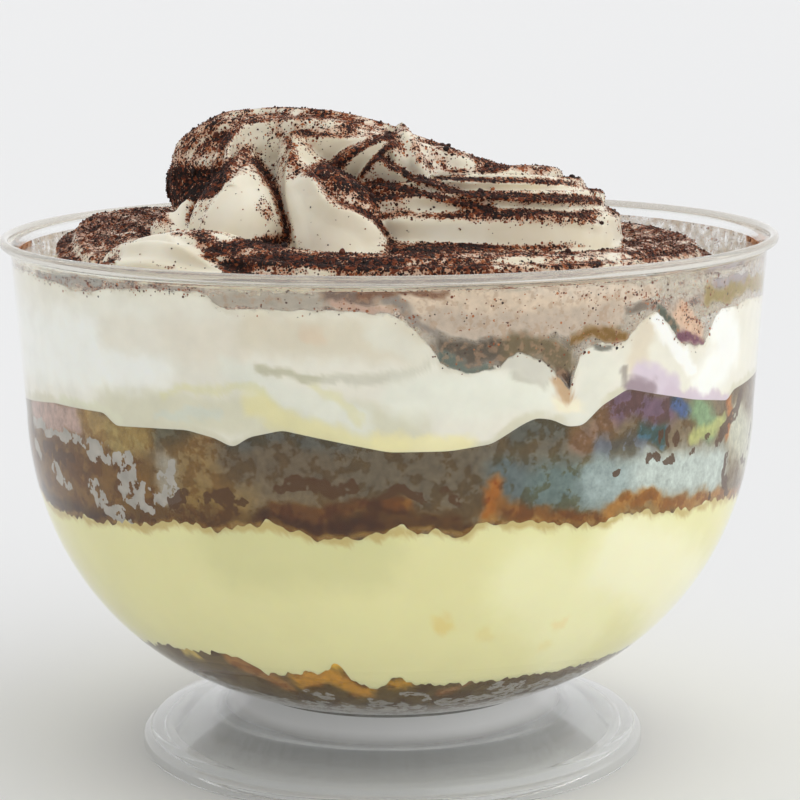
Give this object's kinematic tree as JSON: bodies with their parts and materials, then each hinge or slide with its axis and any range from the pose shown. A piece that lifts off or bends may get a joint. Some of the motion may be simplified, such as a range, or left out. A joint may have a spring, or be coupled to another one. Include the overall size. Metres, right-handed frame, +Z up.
{
  "type": "trifle in a footed dessert bowl",
  "caption": "layered trifle in a clear footed bowl, with sponge, custard, sponge and cream seen through the wall and finned piped cream dusted with cocoa on top",
  "frame": {"origin": "the middle of the underside of the bowl's foot, on the bowl's axis, with the front of the piped cream towards -Y", "axes": "+Z runs up the bowl's axis, +X to the right of the front, +Y to the back"},
  "size_m": [0.11, 0.11, 0.0924],
  "materials": {
    "clear_plastic": "polished",
    "wet_sponge": "satin",
    "custard": "satin",
    "soaked_sponge": "satin",
    "cream": "satin",
    "dusted_cream": "satin"
  },
  "bodies": {
    "root": {"bowl": "clear_plastic", "sponge_base": "wet_sponge", "custard": "custard", "sponge_middle": "soaked_sponge", "cream_layer": "cream", "cream_swirl": "dusted_cream"}
  },
  "joints": []
}
